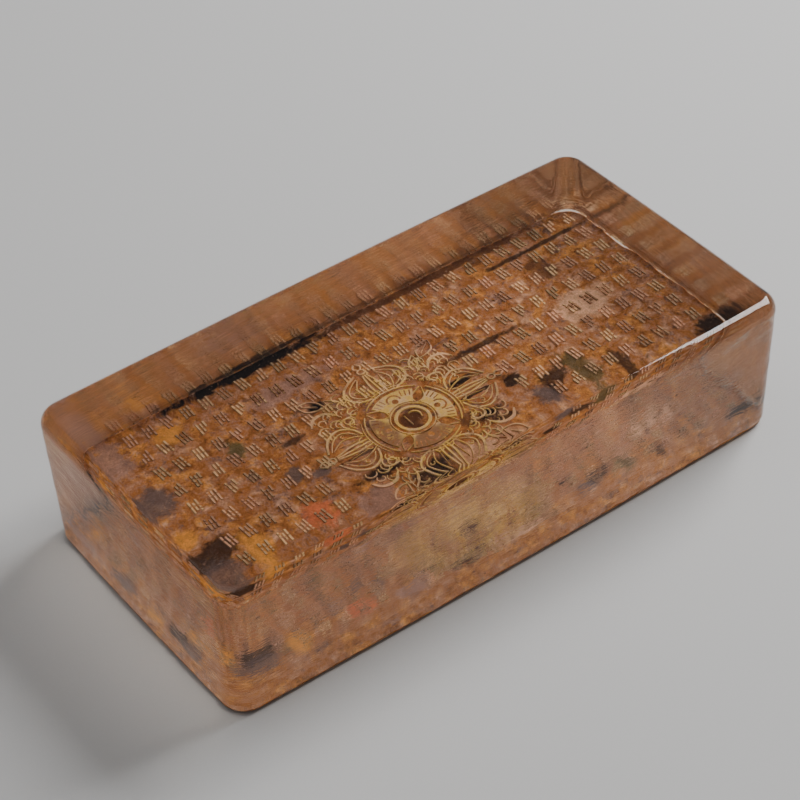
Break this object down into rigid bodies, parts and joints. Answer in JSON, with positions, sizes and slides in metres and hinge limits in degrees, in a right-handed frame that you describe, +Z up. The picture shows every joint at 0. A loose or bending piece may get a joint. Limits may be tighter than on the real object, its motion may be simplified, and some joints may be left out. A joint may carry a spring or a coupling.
{
  "type": "engraved glass relief tile",
  "caption": "Thick clear glass block with rounded edges, its underside engraved and gilt with a crossed-vajra medallion and rows of small stroke marks, stained by burial.",
  "frame": {"origin": "middle of the underside, on the surface that the tile lies on", "axes": "+Z up through the glass, +X along the long side, +Y along the short side"},
  "size_m": [0.1998, 0.1018, 0.048],
  "materials": {
    "glass": "polished, faintly amber, with fine scratches",
    "patina": "dry burial crust in orange-brown, pinkish brown, grey and black",
    "gilding": "worn gold leaf in the engraved lines"
  },
  "bodies": {
    "root": {"glass_tile": "glass"}
  },
  "joints": []
}
